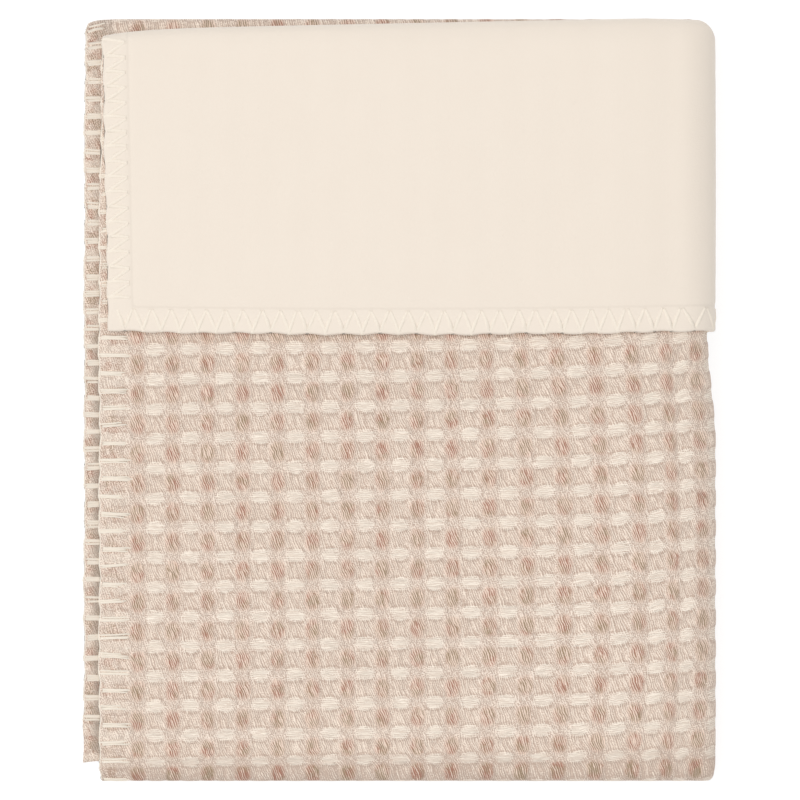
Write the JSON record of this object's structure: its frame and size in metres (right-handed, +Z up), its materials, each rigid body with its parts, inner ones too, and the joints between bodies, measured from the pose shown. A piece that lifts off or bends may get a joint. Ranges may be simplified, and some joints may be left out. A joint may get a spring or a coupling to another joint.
{
  "type": "folded waffle weave cotton blanket",
  "caption": "Lined waffle weave cotton blanket, folded flat in thirds with its hemmed top edge turned down to show the smooth lining.",
  "frame": {"origin": "on the surface that the folded blanket rests on, under the middle of its bounding box", "axes": "+Z up out of the stack, towards the side with the turned-down flap; +Y along its length, towards the flap's fold; +X towards the folded side, away from the open hems"},
  "size_m": [0.2528, 0.3054, 0.0426],
  "materials": {
    "waffle_cotton": "raised waffle weave of cream and brown yarn, matt",
    "brushed_cotton": "smooth brushed cream cotton, matt with a fine nap"
  },
  "bodies": {
    "root": {"waffle_face": "waffle_cotton", "flannel_lining": "brushed_cotton"}
  },
  "joints": []
}
